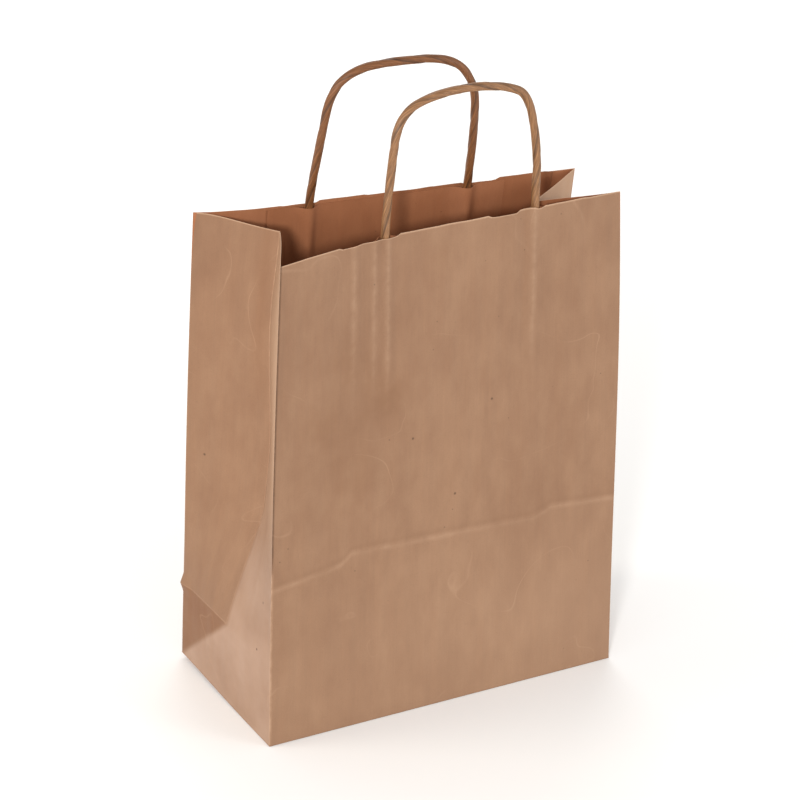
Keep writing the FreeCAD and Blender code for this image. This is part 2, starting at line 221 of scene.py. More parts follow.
# %% [markdown]
# ## The body: one sheet, folded
#
# The real body starts as a flat rectangle: rear panel, gusset, front panel, gusset and a
# glue flap, side by side. Five separate plates would show as plates, with gaps at every
# fold. So the model starts from the flat sheet too, a grid at the real size, and each
# corner of the grid is carried to its place on the folded bag. The sheet's own flat
# measures stay with it as a UV map, so the paper's grain will run unbroken round each fold.

# %% Fold map of the sheet
CELL = 2.5 * MM
FLAP_WIDTH = 15 * MM
PAPER = 0.16 * MM
FOLD_GAP = 0.1 * MM
BASE_LIFT = 3.0 * MM     # the rear edge of the base doesn't quite touch the table
CORNER_BULGE = 2.2 * MM  # the crumpled corner that pokes out where the pack was folded
CRUMPLE_REACH = 7 * MM
EDGE_BOW = 1.3 * MM      # the upright folds bow outwards at half height
HOLLOW = 3.2 * MM        # the gussets curve in near their rear folds, at the mouth
FRONT_HOLLOW = 0.2       # and this much of that near their front folds
HUMP = 6.75              # brings the curve x * (1 - x) ** 2 to a height of 1
LOW_SPREAD = 0.9 * MM    # the rear corners stand a little wider near the table


def gusset_point(share, turn, height):
    """A gusset between the rear (turn 0) and the front panel (turn 1)."""
    half = DEPTH / 2
    name, along = ("rear", turn * 2) if turn <= 0.5 else ("front", 2 - turn * 2)
    edge = wall_point(name, share, height)
    if height >= half:
        point = edge.lerp(crease_point(share, height), along)
        if share == 0:
            rise = ((height - half) / (MOUTH - half)) ** 2
            if name == "rear":
                hollow = HUMP * along * (1 - along) ** 2
                point += HOLLOW * rise * hollow * Vector((1, 1, 0)) / math.sqrt(2)
            else:
                point.x += FRONT_HOLLOW * HOLLOW * rise * HUMP * along ** 2 * (1 - along)
        return point
    rise = height / half
    apex = crease_point(share, half)
    slants = [wall_point(panel, share, 0).lerp(apex, rise) for panel in ("front", "rear")]
    slant = slants[1] if name == "rear" else slants[0]
    if along <= rise:
        return edge.lerp(slant, along / rise)
    return slant.lerp((slants[0] + slants[1]) / 2, (along - rise) / (1 - rise))


def folded(across, height):
    """Where a point of the flat sheet lies on the folded bag."""
    if across <= WIDTH:
        point = wall_point("rear", 1 - across / WIDTH, height)
    elif across <= WIDTH + DEPTH:
        point = gusset_point(0, (across - WIDTH) / DEPTH, height)
    elif across <= 2 * WIDTH + DEPTH:
        point = wall_point("front", (across - WIDTH - DEPTH) / WIDTH, height)
    elif across <= 2 * WIDTH + 2 * DEPTH:
        point = gusset_point(1, 1 - (across - 2 * WIDTH - DEPTH) / DEPTH, height)
    else:
        flap = across - 2 * WIDTH - 2 * DEPTH
        point = wall_point("rear", 1 - flap / WIDTH, height)
        point.y -= (PAPER + FOLD_GAP) * 1.5 * smooth(flap / CELL)
    return point


def settle(point):
    """The rear of the base stands a little off the table, and the rear corners kick out."""
    back = smooth((point.y + DEPTH / 4) / (DEPTH * 0.75))
    low = 1 - smooth(point.z / (DEPTH * 0.9))
    crumple = max(0.0, 1 - abs(point.z - DEPTH / 2) / CRUMPLE_REACH)
    outwards = 1 if point.x > 0 else -1
    corner = smooth((abs(point.x) - WIDTH * 0.4) / (WIDTH * 0.1))
    near_fold = smooth((point.y - DEPTH * 0.36) / (DEPTH * 0.1))
    share = min(1.0, point.z / MOUTH)
    bow = EDGE_BOW * math.sin(math.pi * (share if point.x < 0 else share ** 1.7))
    bow *= 1 if point.x < 0 else 1.5
    point.x += outwards * corner * bow
    point.x += outwards * corner * back * (LOW_SPREAD * low + CORNER_BULGE * crumple * near_fold)
    point.z += BASE_LIFT * back * low
    return point


corner = settle(folded(WIDTH, 0.0))
print("left rear corner of the base:", [round(value / MM, 1) for value in corner])

# %% [markdown]
# ### The cut and the tools
#
# The mouth was cut by a toothed knife, so it runs in low steps. They could be carved out of
# the finished sheet, but its rim is easier to move than to cut: the top row of the grid is
# raised and lowered. Three small tools then serve every piece of paper: one adds a grid, one
# lays it out, and one gives it the paper's thickness.

# %% Cut of the mouth
# Each entry is a distance from the panel's left edge and the height of the step that
# starts there, in mm.
FRONT_CUT = [(0, 0.0), (44, -1.0), (83, 0.7), (147, -0.8), (166, 0.8), (178, -0.4), (184, 0.7), (215, 0.1)]
REAR_CUT = [(0, 0.3), (52, -0.2), (74, 1.0), (104, 0.6), (146, 0.4), (166, -0.6), (188, 0.8), (222, 0.4)]
STEP_SLOPE = 2.2 * MM
GUSSET_WAVE = 0.3 * MM   # the gussets' cut runs in low waves


def step_height(steps, distance):
    """Height of the cut at a distance along a panel, steep at each step."""
    height = steps[0][1]
    for (start, level), (_, before) in zip(steps[1:], steps):
        height += (level - before) * smooth((distance - start * MM) / STEP_SLOPE + 0.5)
    wave = 0.25 * noise.noise(Vector((distance / (14 * MM), 5.0, 2.0)))
    return (height + wave) * MM


def cut_height(across):
    """How far the cut lies over or under the mean mouth."""
    if across <= WIDTH:
        return step_height(REAR_CUT, WIDTH - across)
    if across <= WIDTH + DEPTH:
        return GUSSET_WAVE * math.sin(across / (9 * MM))
    if across <= 2 * WIDTH + DEPTH:
        return step_height(FRONT_CUT, across - WIDTH - DEPTH)
    return GUSSET_WAVE * math.sin(across / (11 * MM))


print("steps in the cut:", len(FRONT_CUT), "in front,", len(REAR_CUT), "behind")

# %% Tools for paper pieces
def deselect_all():
    bpy.ops.object.select_all(action="DESELECT")


def pick(piece):
    """Selects one piece and nothing else."""
    deselect_all()
    piece.select_set(True)
    bpy.context.view_layer.objects.active = piece


def apply_modifiers(piece):
    """Makes a piece's modifiers part of its mesh."""
    pick(piece)
    for modifier in list(piece.modifiers):
        bpy.ops.object.modifier_apply(modifier=modifier.name)


def new_grid(name, columns, rows):
    """A square grid, in order: its vertex number is row * (columns + 1) + column."""
    deselect_all()
    bpy.ops.mesh.primitive_grid_add(x_subdivisions=columns, y_subdivisions=rows, size=1)
    piece = bpy.context.object
    piece.name = piece.data.name = name
    return piece


def lay_out(piece, flats, place):
    """Writes the flat measures as the UV map, in metres, and puts each corner in its place."""
    layer = piece.data.uv_layers[0]
    layer.name = "flat_sheet"
    for loop in piece.data.loops:
        layer.data[loop.index].uv = flats[loop.vertex_index]
    for vertex, flat in zip(piece.data.vertices, flats):
        vertex.co = place(*flat)


SHARP = math.radians(28)   # an edge that turns by more than this stays sharp


def give_thickness(piece, thickness):
    """Paper thickness goes to the inner side, so the outer face keeps its place.

    The inner side takes the piece's second material.
    """
    for _ in range(2):
        piece.data.materials.append(None)
    solid = piece.modifiers.new("paper thickness", "SOLIDIFY")
    solid.thickness = thickness
    solid.offset = -1
    solid.use_rim = True
    solid.material_offset = 1
    apply_modifiers(piece)
    bpy.ops.object.shade_smooth_by_angle(angle=SHARP)


# %% Fold the sheet
HALF_STEPS = round(DEPTH / 2 / CELL)
UPPER_STEPS = round((MOUTH - DEPTH / 2) / CELL)
heights = [CELL * step for step in range(HALF_STEPS)]
heights += [DEPTH / 2 + (MOUTH - DEPTH / 2) * step / UPPER_STEPS for step in range(UPPER_STEPS + 1)]
sheet_length = 2 * WIDTH + 2 * DEPTH + FLAP_WIDTH
column_count = round(sheet_length / CELL)
flats = [(column * CELL, height) for height in heights for column in range(column_count + 1)]

paper_sheet = new_grid("paper_sheet", column_count, len(heights) - 1)


def place_on_bag(across, height):
    """The place of a corner of the sheet, with the cut's steps in its top row."""
    point = settle(folded(across, height))
    if height > MOUTH - TINY:
        point.z += cut_height(across)
    return point


lay_out(paper_sheet, flats, place_on_bag)
print("sheet as cut:", round(sheet_length / MM), "x", round(MOUTH / MM), "mm,", len(flats), "corners")

# %% [markdown]
# ### Soft folds
#
# Folded paper isn't sharp: the outside of a fold is a round of about half a millimetre. A
# finer grid would round every fold of its own accord, at a hundred times the faces. So only
# the columns of edges that lie on the four folds are selected and bevelled.

# %% Round the folds and give the paper its thickness
FOLD_LINES = [WIDTH, WIDTH + DEPTH, 2 * WIDTH + DEPTH, 2 * WIDTH + 2 * DEPTH]
FOLD_ROUND = 0.5 * MM
pick(paper_sheet)
fold_columns = {round(line / CELL) for line in FOLD_LINES}
on_fold = [number % (column_count + 1) in fold_columns for number in range(len(flats))]
for vertex, chosen in zip(paper_sheet.data.vertices, on_fold):
    vertex.select = chosen
for edge in paper_sheet.data.edges:
    first, second = edge.vertices
    edge.select = on_fold[first] and on_fold[second] and abs(first - second) == column_count + 1
for face in paper_sheet.data.polygons:
    face.select = False
bpy.ops.object.mode_set(mode="EDIT")
bpy.context.tool_settings.mesh_select_mode = (False, True, False)
bpy.ops.mesh.bevel(offset=FOLD_ROUND, segments=3, affect="EDGES")
bpy.ops.object.mode_set(mode="OBJECT")
give_thickness(paper_sheet, PAPER)
print("folded sheet:", len(paper_sheet.data.polygons), "faces")

# %% [markdown]
# ## Plies that lie on a panel
#
# Inside the mouth each cord is held between two plies of paper, glued to the panel, and the
# lengthwise joint is a flap on a film of glue. They could be flat boxes, but a panel isn't
# flat, and a box would cut through it. So each ply is a grid laid on the panel's own curve,
# at its own distance from the outer face, and the covering ply rises over the cord's legs.

# %% Where the cords and patches lie
# Levels are distances inwards from the outer face of a panel.
CORD_RADIUS = 2.5 * MM
GLUE = 0.05 * MM
GLUE_MARGIN = 3 * MM     # bare paper round a film of glue
PATCH_DOWN = 1.2 * MM    # the patches end a little under the mouth
patch_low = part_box("front_patch_outer")[0].z
outer_level = PAPER + FOLD_GAP + GLUE + FOLD_GAP
leg_level = outer_level + PAPER + 0.15 * MM + CORD_RADIUS
inner_level = outer_level + PAPER + FOLD_GAP
OVER_CORD = CORD_RADIUS + 0.25 * MM
TENT = 5.2 * MM          # the stiff ply leaves the other one this far from a leg
GLUED_ASIDE = {"front": 1.1 * MM, "rear": -0.4 * MM}   # the cords aren't glued quite in the middle


def share_at(name, x):
    """The share of a panel's width at which its mouth line passes x."""
    left, right = (corner.x for corner in PANELS[name]["mouth"])
    return (x - left) / (right - left)


def leg_shares(name):
    """Both legs of a handle: each fixed cord end in the frame leans with its panel."""
    points = [vertex.co for vertex in NODES[f"{name}_cord_ends"].data.vertices]
    middle = (min(point.x for point in points) + max(point.x for point in points)) / 2
    shares = []
    for group in ([point for point in points if point.x < middle],
                  [point for point in points if point.x > middle]):
        centre = sum(group, Vector()) / len(group)
        left, right = (wall_point(name, share, centre.z, False).x for share in (0, 1))
        shares.append((centre.x + GLUED_ASIDE[name] - left) / (right - left))
    return shares


LEGS = {name: leg_shares(name) for name in PANELS}
print("legs from a panel's left edge, in mm:",
      {name: [round(share * WIDTH / MM, 1) for share in shares] for name, shares in LEGS.items()})


def patch_shares(name, margin=0.0):
    """Where a patch starts and ends, as shares of its panel's width."""
    low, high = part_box(f"{name}_patch_outer")
    return share_at(name, low.x) + margin / WIDTH, share_at(name, high.x) - margin / WIDTH


def cover_level(name, share):
    """The covering ply: flat on the other ply, and a soft tent over each leg."""
    distance = min(abs(share - leg) for leg in LEGS[name]) * WIDTH
    tent = math.exp(-(distance / TENT) ** 2)
    return inner_level + (leg_level + OVER_CORD - inner_level) * tent


def wall_ply(name, piece_name, shares, low, high, level, thickness, columns, rows):
    """A ply on the inner side of a panel; level gives its distance from the outer face."""
    side = PANELS[name]["side"]
    flats = [(shares[0] + (shares[1] - shares[0]) * column / columns, low + (high - low) * row / rows)
             for row in range(rows + 1) for column in range(columns + 1)]
    piece = new_grid(piece_name, columns, rows)

    def place(share, height):
        point = settle(wall_point(name, share, height))
        point.y -= side * (level(share) if callable(level) else level)
        return point

    lay_out(piece, flats, place)
    for item in piece.data.uv_layers[0].data:
        item.uv.x *= WIDTH
    if side > 0:
        piece.data.flip_normals()
    give_thickness(piece, thickness)
    return piece


# %% Lay the patches, the joint's glue and their films
patch_pieces = {}
for name in PANELS:
    edges = patch_shares(name)
    glued = patch_shares(name, GLUE_MARGIN)
    patch_pieces[f"{name}_patch_glue"] = wall_ply(
        name, f"{name}_patch_glue_film", glued, patch_low + GLUE_MARGIN, MOUTH - GLUE_MARGIN,
        PAPER + FOLD_GAP, GLUE, 48, 14)
    patch_pieces[f"{name}_patch_outer"] = wall_ply(
        name, f"{name}_patch_back_ply", edges, patch_low, MOUTH - PATCH_DOWN, outer_level, PAPER, 60, 18)
    patch_pieces[f"{name}_patch_inner"] = wall_ply(
        name, f"{name}_patch_cover_ply", edges, patch_low, MOUTH - PATCH_DOWN,
        lambda share, name=name: cover_level(name, share), PAPER, 300, 18)
seam_low, seam_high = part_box("side_seam_glue")
seam_edges = (1 - (FLAP_WIDTH - GLUE_MARGIN) / WIDTH, 1 - GLUE_MARGIN / WIDTH)
seam_level = PAPER + 0.04 * MM   # in the narrow gap between the panel and the joint's flap
seam_glue = wall_ply("rear", "seam_glue_film", seam_edges, seam_low.z, seam_high.z, seam_level, GLUE, 6, 60)
print("patches:", ", ".join(piece.name for piece in patch_pieces.values()))

# %% [markdown]
# ## The folded bottom
#
# Under the bag, two long flaps cross the whole depth. The rear one lies outermost, glued over
# the front one, and the gussets' two triangular tucks lie on top of them inside. One plane
# would look right from above only. Here each ply is a plane whose tip is drawn in by a
# resize, as the corners of the real flap are folded in at 45 degrees, and the film of glue
# between the long flaps is a plane that is left square.

# %% A ply of the bottom
FLAP_OVERLAP = 24 * MM
REACH = (DEPTH + FLAP_OVERLAP) / 2   # each long flap reaches past the middle
REAR_SHIFT = PANELS["rear"]["base"][0].x - PANELS["front"]["base"][0].x
half_width, half_depth = WIDTH / 2, DEPTH / 2
RIPPLE = 0.12 * MM
RIPPLE_SIZE = 30 * MM


def follow_base(piece):
    """Lays a flat ply on the base, which the stiff rear fold holds a little off the table."""
    layer = piece.data.uv_layers[0]
    layer.name = "flat_sheet"
    for loop in piece.data.loops:
        place = piece.data.vertices[loop.vertex_index].co
        layer.data[loop.index].uv = (place.x, place.y)
    for vertex in piece.data.vertices:
        vertex.co.x += REAR_SHIFT * (vertex.co.y + half_depth) / DEPTH
        vertex.co.z += abs(RIPPLE * noise.noise(vertex.co / RIPPLE_SIZE))
        vertex.co = settle(vertex.co)


def bottom_ply(name, size, middle, cuts, thickness=PAPER, at_tip=None, narrowing=None):
    """A plane at its size and place. Its tip is drawn in, and then it is laid on the base."""
    deselect_all()
    bpy.ops.mesh.primitive_plane_add(size=1, location=middle)
    piece = bpy.context.object
    piece.name = piece.data.name = name
    piece.scale = (*size, 1)
    bpy.ops.object.transform_apply(location=True, rotation=False, scale=True)
    bpy.ops.object.mode_set(mode="EDIT")
    bpy.context.tool_settings.mesh_select_mode = (True, False, False)
    if at_tip:
        bpy.ops.mesh.select_all(action="DESELECT")
        bpy.ops.object.mode_set(mode="OBJECT")
        for vertex in piece.data.vertices:
            vertex.select = at_tip(vertex.co)
        bpy.ops.object.mode_set(mode="EDIT")
        bpy.ops.transform.resize(value=narrowing)
    bpy.ops.mesh.select_all(action="SELECT")
    bpy.ops.mesh.subdivide(number_cuts=cuts)
    bpy.ops.object.mode_set(mode="OBJECT")
    follow_base(piece)
    give_thickness(piece, thickness)
    return piece


# %% Fold the bottom
bottom_pieces = {}
for name, side, level in (("rear", 1, PAPER), ("front", -1, 2 * PAPER + GLUE)):
    tip = side * (half_depth - REACH)
    bottom_pieces[f"bottom_{name}_flap"] = bottom_ply(
        f"bottom_{name}_ply", (WIDTH, REACH), (0, side * (half_depth - REACH / 2), level), 40,
        at_tip=lambda place, tip=tip: abs(place.y - tip) < TINY,
        narrowing=((WIDTH - 2 * REACH) / WIDTH, 1, 1))

film_low, film_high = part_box("bottom_glue")
film_size = (film_high.x - film_low.x, film_high.y - film_low.y)
bottom_film = bottom_ply("bottom_glue_film", film_size, (0, 0, PAPER + FOLD_GAP / 2), 20, GLUE)

# the gussets' tucks are triangles: their inner edge is drawn in almost to a point
for name, side in (("left", -1), ("right", 1)):
    middle = half_width - half_depth / 2
    bottom_pieces[f"bottom_{name}_tuck"] = bottom_ply(
        f"bottom_{name}_tuck_ply", (half_depth, DEPTH),
        (side * middle, 0, 3 * PAPER + GLUE + FOLD_GAP), 20,
        at_tip=lambda place, middle=middle: abs(place.x) < middle, narrowing=(1, 0.01, 1))
print("bottom plies:", ", ".join(piece.name for piece in bottom_pieces.values()))

# %% [markdown]
# ## The twisted paper cords
#
# Each handle is a strip of paper twisted into a round cord, about 5 mm thick. The strip's
# edges wind round it as long, uneven lines. A plain bevelled curve would be a hose. Here the
# line of the cord is a smooth NURBS curve that starts and ends between the plies, where the
# frame holds the cord, and a section with steps is turned a little at each point along it.

# %% Lay out the cords' lines
# Above the bend: share of the way from the left leg to the right one, and mm over the mouth.
FRONT_ROUTE = [(0.039, 40), (0.072, 65), (0.209, 76), (0.526, 79.5), (0.8, 75.5), (0.94, 68), (1.009, 32)]
REAR_ROUTE = [(0.039, 42), (0.07, 72), (0.205, 84.5), (0.458, 87), (0.807, 85.5), (0.973, 67), (0.999, 37)]
HIDDEN_END = 44 * MM
BEND_HEIGHT = 6.4 * MM


def leg_point(name, share, height):
    """The middle of a cord's leg, inside its panel."""
    return wall_point(name, share, height) - Vector((0, PANELS[name]["side"] * leg_level, 0))


def cord_plan(name, route):
    """The control points of one cord: up a leg, over the loop and down the other leg."""
    left, right = (leg_point(name, share, MOUTH) for share in LEGS[name])
    ups = [(leg_point(name, share, MOUTH) - leg_point(name, share, patch_low)).normalized()
           for share in LEGS[name]]
    along = (right - left).normalized()
    upwards = (ups[0] + ups[1]) / 2
    upwards = (upwards - along * upwards.dot(along)).normalized()
    span = (right - left).length
    shares = [0, 0, 0] + [share for share, _ in route] + [1, 1, 1]
    heights = [-HIDDEN_END, -HIDDEN_END / 2, BEND_HEIGHT] + [height * MM for _, height in route]
    heights += [BEND_HEIGHT, -HIDDEN_END / 2, -HIDDEN_END]
    plan = []
    for share, height in zip(shares, heights):
        if height < 0:
            leg = LEGS[name][0] if share < 0.5 else LEGS[name][1]
            plan.append(leg_point(name, leg, MOUTH + height))
        else:
            plan.append(left + along * (share * span) + upwards * height)
    return plan, upwards


def smooth_line(name, plan):
    """Points along the NURBS curve that has the plan as its control points."""
    data = bpy.data.curves.new(f"{name}_cord_line", "CURVE")
    data.dimensions = "3D"
    data.resolution_u = 24
    spline = data.splines.new("NURBS")
    spline.points.add(len(plan) - 1)
    for control, point in zip(spline.points, plan):
        control.co = (*point, 1)
    spline.order_u = 3
    spline.use_endpoint_u = True
    line = bpy.data.objects.new(data.name, data)
    bpy.context.collection.objects.link(line)
    bpy.context.view_layer.update()
    mesh = bpy.data.meshes.new_from_object(line)
    points = [vertex.co.copy() for vertex in mesh.vertices]
    bpy.data.meshes.remove(mesh)
    bpy.data.objects.remove(line)
    bpy.data.curves.remove(data)
    return points


def even_steps(points, step):
    """The same line, with points an even step apart."""
    lengths = [(after - before).length for before, after in zip(points, points[1:])]
    count = round(sum(lengths) / step)
    spaced, number, passed = [points[0]], 0, 0.0
    for target in (sum(lengths) * index / count for index in range(1, count)):
        while passed + lengths[number] < target:
            passed += lengths[number]
            number += 1
        spaced.append(points[number].lerp(points[number + 1], (target - passed) / lengths[number]))
    return spaced + [points[-1]]


# %% [markdown]
# ### The twist
#
# The strip doesn't lie evenly: it goes round in 56 mm, give or take a third, and each of its
# edges stands over the turn below it like a shallow step. A texture could draw those edges,
# but not break the cord's outline. So they are modelled, ring by ring, and how deep each
# point lies is kept as an attribute, with which the material darkens the grooves.

# %% Twist the cords
LAY = 56 * MM            # length in which the strip goes once round the cord
LAY_WANDER = 0.35
EDGES = [(0.00, 0.34), (0.44, 0.16), (0.63, 0.26)]   # place round the section, depth in mm
DEEPEST = 0.34
STEEP, GENTLE = 0.035, 0.16   # the two sides of a step, as shares of the way round
SECTION = 60
STEP = 0.9 * MM


def strip_edge(phase):
    """Steep on one side and gentle on the other, as one edge of a strip lies over the next."""
    phase = phase % 1.0
    return max(0.0, 1 - phase / STEEP) if phase < 0.5 else max(0.0, 1 - (1 - phase) / GENTLE)


def twisted_cord(name, plan):
    """One cord along its plan: rings of corners, turned step by step, and a cap at each end."""
    line = even_steps(smooth_line(name, plan), STEP)
    seed = 2.0 if name == "front" else 9.0
    verts, faces, grooves, uvs = [], [], [], []
    across, twist, travelled = Vector((0, -1, 0)), 0.0, 0.0
    for number, point in enumerate(line):
        before, after = line[max(0, number - 1)], line[min(len(line) - 1, number + 1)]
        ahead = (after - before).normalized()
        across = (across - ahead * across.dot(ahead)).normalized()
        beside = ahead.cross(across)
        wander = noise.noise(Vector((travelled / (23 * MM), seed, 0)))
        twist += STEP / LAY * (1 + LAY_WANDER * wander)
        fullness = 1 + 0.035 * noise.noise(Vector((travelled / (9 * MM), seed, 4)))
        for place in range(SECTION):
            turn = place / SECTION
            groove = 0.0
            for start, depth in EDGES:
                sway = 0.03 * noise.noise(Vector((travelled / (12 * MM), start * 30, seed)))
                groove = max(groove, depth * strip_edge(turn - twist - start - sway))
            lump = 0.05 * noise.noise(Vector((travelled / (5 * MM), turn * 6, seed)))
            radius = CORD_RADIUS * fullness - (groove - lump) * MM
            angle = 2 * math.pi * turn
            verts.append(point + (across * math.cos(angle) + beside * math.sin(angle)) * radius)
            grooves.append(groove / DEEPEST)
            uvs.append((travelled, turn * 2 * math.pi * CORD_RADIUS))
        travelled += STEP
    for ring in range(len(line) - 1):
        for place in range(SECTION):
            following = (place + 1) % SECTION
            faces.append((ring * SECTION + place, ring * SECTION + following,
                          (ring + 1) * SECTION + following, (ring + 1) * SECTION + place))
    faces.append(tuple(reversed(range(SECTION))))
    faces.append(tuple(range((len(line) - 1) * SECTION, len(line) * SECTION)))
    mesh = bpy.data.meshes.new(f"{name}_twisted_cord")
    mesh.from_pydata(verts, [], faces)
    cord = bpy.data.objects.new(mesh.name, mesh)
    bpy.context.collection.objects.link(cord)
    darkness = mesh.attributes.new("groove", "FLOAT", "POINT")
    darkness.data.foreach_set("value", grooves)
    layer = mesh.uv_layers.new(name="along_strip")
    for polygon in mesh.polygons:
        for loop_index in polygon.loop_indices:
            layer.data[loop_index].uv = uvs[mesh.loops[loop_index].vertex_index]
    pick(cord)
    bpy.ops.object.shade_smooth_by_angle(angle=math.radians(50))
    print(f"{name} cord: {travelled / MM:.0f} mm long, {len(faces)} faces")
    return cord


cords = {}
for name, route in (("front", FRONT_ROUTE), ("rear", REAR_ROUTE)):
    plan, upwards = cord_plan(name, route)
    cords[name] = (twisted_cord(name, plan), upwards)

# %% [markdown]
# ## Materials
#
# Colours are written as the sRGB hex values that a colour picker gives, and turned to the
# linear values that Blender's sockets expect. Nodes could be placed and joined one by one,
# as in the editor. Here one function adds any node with its settings and its links, so that
# each material reads as a list of steps.

# %% Helpers for materials
def linear(hex_colour):
    """An sRGB hex colour as linear red, green, blue and alpha."""
    parts = [int(hex_colour[start:start + 2], 16) / 255 for start in (1, 3, 5)]
    return [part / 12.92 if part <= 0.04045 else ((part + 0.055) / 1.055) ** 2.4 for part in parts] + [1]


def add(tree, kind, settings, *inputs, out=0):
    """Adds a node and gives one of its outputs.

    The settings name the node's properties or its sockets, and the inputs fill its first
    sockets in order. A value that is another node's output becomes a link.
    """
    node = tree.nodes.new(f"ShaderNode{kind}")
    sockets = dict(enumerate(inputs))
    for key, value in settings.items():
        if isinstance(key, str) and hasattr(node, key):
            setattr(node, key, value)
        else:
            sockets[key] = value
    for key, value in sockets.items():
        if isinstance(value, bpy.types.NodeSocket):
            tree.links.new(value, node.inputs[key])
        else:
            node.inputs[key].default_value = value
    return node.outputs[out]


def new_material(name):
    """A material with its node tree and its shader, still plain."""
    material = bpy.data.materials.new(name)
    material.use_nodes = True
    tree = material.node_tree
    return material, tree, tree.nodes["Principled BSDF"]


print("brown kraft, linear:", [round(part, 3) for part in linear("#8d6a50")])

# %% [markdown]
# ### Machine-glazed kraft paper
#
# Kraft is unbleached wood pulp, so it is brown with darker and lighter fibres. One side is
# dried against a polished cylinder, which leaves fine streaks one way and a low sheen. A
# noise alone would look like felt. The pattern is built of what the real sheet has, each at
# its own size: clouds of 90 mm and 12 mm where the pulp lies thick, streaks along the
# machine, hairs of 2 to 4 mm, and a few dark specks of bark. Real fibres are 0.03 mm wide,
# too fine to show, so they are drawn 0.25 mm wide.

# %% Settings that many nodes share
PLUS, MINUS = {"operation": "ADD"}, {"operation": "SUBTRACT"}
TIMES, LARGEST = {"operation": "MULTIPLY"}, {"operation": "MAXIMUM"}
ABOVE, BELOW = {"operation": "GREATER_THAN"}, {"operation": "LESS_THAN"}
SIZE = {"operation": "ABSOLUTE"}
EVEN, EASED = {"interpolation_type": "LINEAR"}, {"interpolation_type": "SMOOTHSTEP"}
FRONT_FOLD = FOLD_LINES[1]   # the fold between the left gusset and the front panel


def joined(tree, operation, *values):
    """Joins any number of values, two at a time."""
    result = values[0]
    for value in values[1:]:
        result = add(tree, "Math", operation, result, value)
    return result


def line_near(tree, coordinate, centre, half_width):
    """1 on a line across the flat sheet, falling to 0 at its half width."""
    distance = add(tree, "Math", SIZE, add(tree, "Math", MINUS, coordinate, centre))
    return add(tree, "MapRange", EVEN, distance, 0.0, half_width, 1.0, 0.0)


def band(tree, coordinate, low, high):
    """1 between two lines of the flat sheet, 0 elsewhere."""
    past_low = add(tree, "Math", ABOVE, coordinate, low)
    return add(tree, "Math", TIMES, past_low, add(tree, "Math", BELOW, coordinate, high))


def cloudy(tree, flat, size, low, high, least, most, detail=3.0):
    """Soft clouds about so many metres across, with values from least to most."""
    noise_value = add(tree, "TexNoise", {"Scale": 1 / size, "Detail": detail, "Roughness": 0.55}, flat)
    return add(tree, "MapRange", EVEN, noise_value, low, high, least, most)


def lay_over(tree, under, amount, hex_colour, most=1.0):
    """Lays a colour over another one, by an amount of 0 to 1 and no more than the most."""
    share = add(tree, "Math", TIMES, amount, most)
    return add(tree, "Mix", {"data_type": "RGBA", 6: under, 7: linear(hex_colour)}, share, out=2)


# %% [markdown]
# ### What folding and handling left, and painted light and shade
#
# A glazed sheet keeps a record of how it was treated: the glaze breaks pale on each fold, the
# line of the flat pack stays across the front, cords leave prints, and damp or greasy hands
# leave soft stains. Painted shade, painted light and a painted reflection of the floor are
# laid on in the same way: in the open front fold, round the pack's line, on the cords' prints
# and on the gussets. Each mark could be painted as an image. Here each is laid over the
# paper's colour by a rule on the sheet's flat measures, because a rule stays sharp at any
# distance and its place can be read in millimetres.

# %% Worn folds of the sheet, and painted shade in the front fold
def worn_folds_and_painted_fold_shade(tree, flat, along, up, colour):
    """The glaze breaks pale along each fold and the cut edge; painted shade lies in the open front fold."""
    folds = [line_near(tree, along, line, 0.9 * MM) for line in FOLD_LINES if line != FRONT_FOLD]
    centres = [line_near(tree, along, line, 0.8 * MM)
               for line in (WIDTH + DEPTH / 2, 2 * WIDTH + 1.5 * DEPTH)]
    fading = add(tree, "MapRange", EASED, up, 150 * MM, 275 * MM, 0.3, 1.0)
    over_base = add(tree, "Math", ABOVE, up, DEPTH / 2)
    centres = joined(tree, TIMES, joined(tree, LARGEST, *centres), fading, over_base)
    # the front left fold is pressed hard: painted shade near the mouth, where it stands open, and worn pale
    # lower down
    pressed = line_near(tree, along, FRONT_FOLD + 0.2 * MM, 1.5 * MM)
    low_part = add(tree, "MapRange", EVEN, up, 112 * MM, 128 * MM, 1.0, 0.0)
    dark = joined(tree, TIMES, pressed, add(tree, "Math", MINUS, 1.0, low_part))
    # the fold across the gussets, above the base triangle, shows on their rear halves
    across = joined(tree, TIMES, line_near(tree, up, DEPTH / 2, 1.0 * MM),
                    joined(tree, LARGEST, *[band(tree, along, low, low + DEPTH / 2)
                                            for low in (WIDTH, 2 * WIDTH + 1.5 * DEPTH)]))
    pale = joined(tree, LARGEST, *folds, centres, joined(tree, TIMES, pressed, low_part),
                  add(tree, "Math", TIMES, across, 0.5))
    pale = joined(tree, TIMES, pale, cloudy(tree, flat, 0.006, 0.35, 0.65, 0.35, 1.0), 0.36)
    cut_edge = add(tree, "Math", TIMES, line_near(tree, up, MOUTH, 0.9 * MM), 0.55)
    colour = lay_over(tree, colour, joined(tree, LARGEST, pale, cut_edge), "#d3af90")
    # painted shade: the open front fold near the mouth is laid over dark
    dark = joined(tree, TIMES, dark, cloudy(tree, flat, 0.005, 0.3, 0.6, 0.7, 1.0))
    return lay_over(tree, colour, dark, "#4d3321", 0.95)


# %% The fold of the flat pack, and the prints of cords
PACK_LINE = 105.5 * MM     # its height at the front panel's left edge
# The line is broken where the paper slipped: from, to, and how far it rises between them, in mm.
PACK_STEPS = [(0, 46, 4.0), (46, 54, 6.6), (54, 180, -5.5), (180, 194, 4.6), (194, 240, -3.5)]


